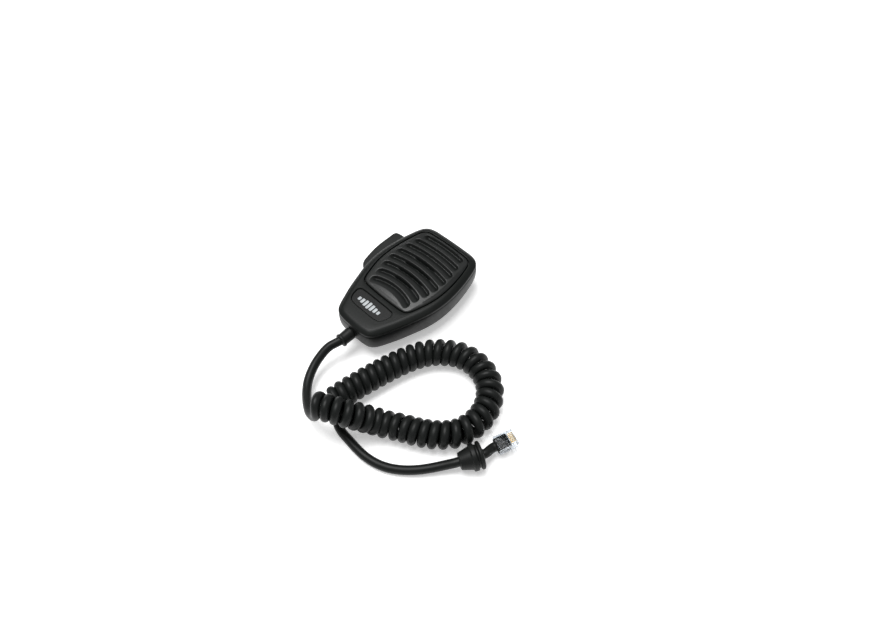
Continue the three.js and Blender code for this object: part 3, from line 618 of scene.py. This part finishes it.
def grille_panel():
    nx, ny = 230, 420
    xs = np.linspace(-26.2, 26.2, nx)
    ys = np.linspace(-19.8, 41.8, ny)
    X, Y = np.meshgrid(xs, ys)
    Z = crown(X, Y) - louvre_depth(X, Y)
    v = [(float(X[j, i]), float(Y[j, i]), float(Z[j, i])) for j in range(ny) for i in range(nx)]
    f = [(j * nx + i, j * nx + i + 1, (j + 1) * nx + i + 1, (j + 1) * nx + i) for j in range(ny - 1) for i in range(nx - 1)]
    base = len(v)
    v += [(xs[i], ys[0], 19.9) for i in range(nx)] + [(xs[i], ys[-1], 19.9) for i in range(nx)]
    for i in range(nx - 1):
        f.append((i + 1, i, base + i, base + i + 1))
        a, b = (ny - 1) * nx + i, (ny - 1) * nx + i + 1
        f.append((a, b, base + nx + i + 1, base + nx + i))
    f.append(tuple([j * nx for j in range(ny)] + [base + nx, base]))
    f.append(tuple([base + nx - 1, base + 2 * nx - 1] + [j * nx + nx - 1 for j in range(ny - 1, -1, -1)]))
    f.append(tuple(list(range(base, base + nx)) + list(range(base + 2 * nx - 1, base + nx - 1, -1))))
    o = mesh_obj("louvre_panel", v, f)
    P = offset(PANEL, -0.35)
    trim = [ring(P, 20.0), ring(P, FACE_Z - 0.62), ring(offset(P, -0.1), FACE_Z - 0.3), ring(offset(P, -0.32), FACE_Z - 0.04), ring(offset(P, -0.7), FACE_Z + 0.18),
            ring(offset(P, -1.3), FACE_Z + 0.40), ring(offset(P, -2.2), FACE_Z + 0.75), ring(offset(P, -3.5), FACE_Z + 1.4), ring(shrink(offset(P, -3.5), (0, 11), 0.8), FACE_Z + 2.5)]
    t = loft("tool", trim)
    boolean(o, t, "INTERSECT")
    fl = prism(offset(PANEL, 1.2), 20.0, 20.7)
    boolean(o, fl, "UNION")
    for s in (-1, 1):
        boolean(o, revolve([(0, 9.3), (3.0, 9.3), (3.0, 20.4), (0, 20.4)], (14 * s, 33, 0), (0, 0, 1), 32), "UNION")
        boolean(o, revolve([(0, 6), (1.7, 6), (1.7, 17), (0, 17)], (14 * s, 33, 0), (0, 0, 1), 32))
    paint(o, "grille_plastic")
    return smooth(o, 60)


# ------------------------------------------------------------------ badge
def badge():
    B = offset(BADGE, -0.3)
    o = loft("badge", [ring(B, FACE_Z - 1.0), ring(B, FACE_Z - 0.7), ring(offset(B, -0.15), FACE_Z - 0.6)], None, (-1.2, -28.2, FACE_Z - 0.6))
    paint(o, "badge_plate")
    out = [smooth(o)]
    for i, h in enumerate((2.6, 3.6, 4.6, 5.2, 4.6, 3.6, 2.6)):
        x0, x1 = -11.2 + i * 2.8, -9.2 + i * 2.8
        yc, r, n = -28.9, 0.6, 8
        pts = []
        for cx, cy, a0 in ((x1 - r, yc + h / 2 - r, 0), (x0 + r, yc + h / 2 - r, 90), (x0 + r, yc - h / 2 + r, 180), (x1 - r, yc - h / 2 + r, 270)):
            for kx in range(n + 1):
                an = math.radians(a0 + 90 * kx / n)
                pts.append((cx + r * math.cos(an), cy + r * math.sin(an)))
        b = loft("level_bar_%d" % (i + 1), [ring(pts, FACE_Z - 0.5), ring(pts, FACE_Z - 0.3), ring(offset(pts, -0.05), FACE_Z - 0.25)])
        paint(b, "badge_print")
        smooth(b)
        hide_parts("badge_bar_%d" % (i + 1))
        out.append(b)
    return out


# ------------------------------------------------------------------ push-to-talk bar
def ptt():
    outer = [(-24.0, -8.2), (-29.0, -8.35), (-31.6, -7.9), (-34.9, -4.6), (-36.3, 0.0), (-37.7, 6.5), (-38.4, 13.7), (-38.4, 21), (-38.2, 26.2), (-37.4, 27.9),
             (-35.4, 28.7), (-30.5, 29.2), (-26.9, 29.2)]
    edge = catmull(outer[1:-1], 150, closed=False)
    inner = [(-26.9, 29.2), (-26.9, 26.0), (-27.0, -2.0), (-22.2, -2.4), (-22.2, -7.4), (-24.0, -8.2)]
    poly = np.vstack([edge, inner])[::-1]          # counter-clockwise
    if 0.5 * np.sum(poly[:, 0] * np.roll(poly[:, 1], -1) - np.roll(poly[:, 0], -1) * poly[:, 1]) < 0:
        poly = poly[::-1]

    def inset(d):
        q = poly.copy()
        off = offset(poly, -d)
        w = np.clip((-28.5 - poly[:, 0]) / 2.0, 0, 1)[:, None]
        return q * (1 - w) + off * w
    R = 1.3
    lv = []
    for kx in range(7):
        an = math.pi / 2 * kx / 6
        lv.append((5.0 + R * (1 - math.sin(an)), R * (1 - math.cos(an))))
    lv = lv[::-1]
    rings = [ring(inset(d), z) for z, d in lv] + [ring(inset(d), 23.3 - z) for z, d in lv[::-1]]
    v = [p for r in rings for p in r]
    n = len(poly)
    f = []
    for kx in range(len(rings) - 1):
        for i in range(n):
            a, b = kx * n + i, kx * n + (i + 1) % n
            f.append((a, b, b + n, a + n))
    f.append(tuple(range(n))[::-1])
    f.append(tuple((len(rings) - 1) * n + i for i in range(n)))
    o = mesh_obj("talk_bar", v, f)
    bm = bmesh.new(); bm.from_mesh(o.data)
    bmesh.ops.triangulate(bm, faces=[x for x in bm.faces if len(x.verts) > 4])
    bm.to_mesh(o.data); bm.free()
    boolean(o, box(-27.6, -21.2, 21.6, 24.4, 10.8, 14.6), "UNION")
    boolean(o, box(-27.5, -22.8, 27.2, 29.0, 10.0, 16.0), "UNION")
    boolean(o, box(-24.1, -22.8, 27.2, 31.6, 10.0, 16.0), "UNION")
    boolean(o, revolve([(0, 2), (1.05, 2), (1.05, 20), (0, 20)], (-24.6, -5.0, 0), (0, 0, 1), 32))
    for kx in range(4):
        y = 4 + kx * 5.2
        boolean(o, revolve([(0, 7.0), (0.5, 7.0), (1.0, 7.5), (1.15, 8.0), (1.15, 15.3), (1.0, 15.8), (0.5, 16.3), (0, 16.3)], (-39.2 + 0.12 * kx, y, 0), (0, 0, 1), 28))
    paint(o, "button_plastic")
    return smooth(o, 34)


# ------------------------------------------------------------------ boot, grommet, plug
def boot():
    prof = [(0, -3.0), (3.3, -3.0), (4.3, -2.7), (4.4, -1.5), (3.9, -1.1), (3.95, 2.2), (4.1, 5.6), (3.0, 5.65), (3.0, 10.9), (3.7, 10.9), (3.7, 12.2), (0, 12.2)]
    o = revolve(rounded(prof, 0.3), (0, -52.4, 14), (0, 1, 0), 72, "cable_boot")
    paint(o, "boot_rubber")
    return smooth(o, 34)


def grommet():
    L = float(np.linalg.norm(G1 - G0))
    prof = [(0, 0), (4.6, 0), (4.9, 0.4), (6.5, 6.3), (6.6, 6.6), (7.5, 6.8), (7.75, 7.2), (7.75, 9.1), (7.5, 9.5), (6.5, 9.7), (6.5, 10.9), (7.6, 11.1), (7.95, 11.5), (7.9, 12.6), (7.2, 13.2), (3.6, 13.7), (3.3, L), (0, L)]
    at = G0 + GU * 0.25
    o = revolve(rounded(prof, 0.4), tuple(at), tuple(GU), 72, "grommet")
    # bore for the cord
    boolean(o, revolve([(0, -3), (2.72, -3), (2.72, L + 3), (0, L + 3)], tuple(at), tuple(GU), 40))
    paint(o, "boot_rubber")
    return smooth(o, 34)


PX = np.array((PD[1], -PD[0], 0.0))


def in_plug(o):
    """From the plug's own axes (x across, y along, z up, metres) to the row frame."""
    M = Matrix(((PX[0], PD[0], 0, PC[0] * MM), (PX[1], PD[1], 0, PC[1] * MM), (0, 0, 1, PC[2] * MM), (0, 0, 0, 1)))
    o.data.transform(M)
    return o


def rbox(name, x0, x1, y0, y1, z0, z1, r=0.25, seg=3):
    o = box(x0, x1, y0, y1, z0, z1, name)
    bm = bmesh.new(); bm.from_mesh(o.data)
    bmesh.ops.bevel(bm, geom=list(bm.edges), offset=r * MM, segments=seg, profile=0.5, affect="EDGES")
    bm.to_mesh(o.data); bm.free()
    return o


def plug():
    W, Lp, H = 9.4, 11.5, 6.0
    hw, hh = W / 2, H / 2
    out = []
    b = rbox("plug_sleeve", -3.95, 3.95, -0.4, 7.5, -2.3, 2.3, 0.5)
    out.append((in_plug(smooth(paint(b, "boot_rubber"))), "case", ["plug_boot"]))
    h = rbox("plug_shell", -hw, hw, 0, Lp, -hh, hh, 0.22)
    boolean(h, box(-4.1, 4.1, -1, 7.6, -2.5, 2.5))
    for i in range(6):
        x = (i - 2.5) * 1.02
        boolean(h, box(x - 0.3, x + 0.3, Lp - 3.85, Lp + 1, 0.2, hh + 1))
    boolean(h, box(-3.3, 3.3, -1, Lp - 3.0, -hh - 1, -hh + 0.8))
    out.append((in_plug(smooth(paint(h, "clear_plastic"), 25)), "case", ["plug_housing"]))
    for i in range(6):
        x = (i - 2.5) * 1.02
        c = rbox("contact_%d" % (i + 1), x - 0.24, x + 0.24, Lp - 3.7, Lp - 0.35, 0.4, hh - 0.15, 0.06, 2)
        out.append((in_plug(smooth(paint(c, "gold"))), "case", ["plug_contact_%d" % (i + 1)]))
    th, LY = 0.115, 8.2
    l = rbox("latch", -2.9, 2.9, 3.2 - LY, 0, -0.7, 0, 0.12, 2)
    boolean(l, rbox("tool", -1.6, 1.6, -3.2 - LY, 3.6 - LY, -0.7, 0, 0.12, 2), "UNION")
    l.data.transform(Matrix.Translation((0, LY * MM, (-hh + 0.3) * MM)) @ Matrix.Rotation(th, 4, "X"))
    out.append((in_plug(smooth(paint(l, "clear_plastic"), 25)), "latch", ["plug_latch"]))
    return out


rs = rear_shell(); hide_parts("rear_shell"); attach(rs, "case")
fs = front_shell(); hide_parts("front_shell"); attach(fs, "case")
gp = grille_panel(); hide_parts("grille_panel"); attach(gp, "case")
bd = badge(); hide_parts("name_badge")
for o in bd:
    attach(o, "case")
pb = ptt(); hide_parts("ptt_button"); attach(pb, "talk_bar")
bo = boot(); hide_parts("strain_relief"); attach(bo, "case")
gr = grommet(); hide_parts("panel_grommet"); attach(gr, "case")
plug_pieces = plug()
for o, body, nodes in plug_pieces:
    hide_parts(*nodes)
    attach(o, body)

# ------------------------------------------------------------------ floor and light
fm, fnt, fb = new_mat("floor")
fn = node(fnt, "ShaderNodeTexNoise", Scale=3.0, Detail=2.0)
fnt.links.new(coords(fnt), fn.inputs["Vector"])
fmix = node(fnt, "ShaderNodeMix", data_type="RGBA")
fmix.inputs[6].default_value, fmix.inputs[7].default_value = (0.93, 0.93, 0.93, 1), (0.96, 0.96, 0.96, 1)
fnt.links.new(fn.outputs["Fac"], fmix.inputs[0]); fnt.links.new(fmix.outputs[2], fb.inputs["Base Color"])
fb.inputs["Roughness"].default_value = 0.95
fb.inputs["Specular IOR Level"].default_value = 0.1
fb.inputs["Emission Color"].default_value = (1, 1, 1, 1)
fb.inputs["Emission Strength"].default_value = 0.36
me = bpy.data.meshes.new("floor")
S = 3.0
me.from_pydata([(-S, -S, -0.0002), (S, -S, -0.0002), (S, S, -0.0002), (-S, S, -0.0002)], [], [(0, 1, 2, 3)])
me.materials.append(fm)
floor = link(me, "floor")


def area(name, loc, target, size, power, color=(1, 1, 1)):
    l = bpy.data.lights.new(name, "AREA")
    l.shape = "RECTANGLE"
    l.size, l.size_y = size
    l.energy = power
    l.color = color
    o = bpy.data.objects.new(name, l)
    bpy.context.scene.collection.objects.link(o)
    o.location = loc
    o.rotation_euler = (Vector(target) - Vector(loc)).to_track_quat("-Z", "Y").to_euler()
    return o


area("overhead", (-0.37, -0.02, 1.70), (0.04, -0.04, 0), (1.2, 1.1), 34.0)
w = bpy.context.scene.world or bpy.data.worlds.new("world")
bpy.context.scene.world = w
w.use_nodes = True
w.node_tree.nodes["Background"].inputs["Color"].default_value = (1, 1, 1, 1)
w.node_tree.nodes["Background"].inputs["Strength"].default_value = 0.38
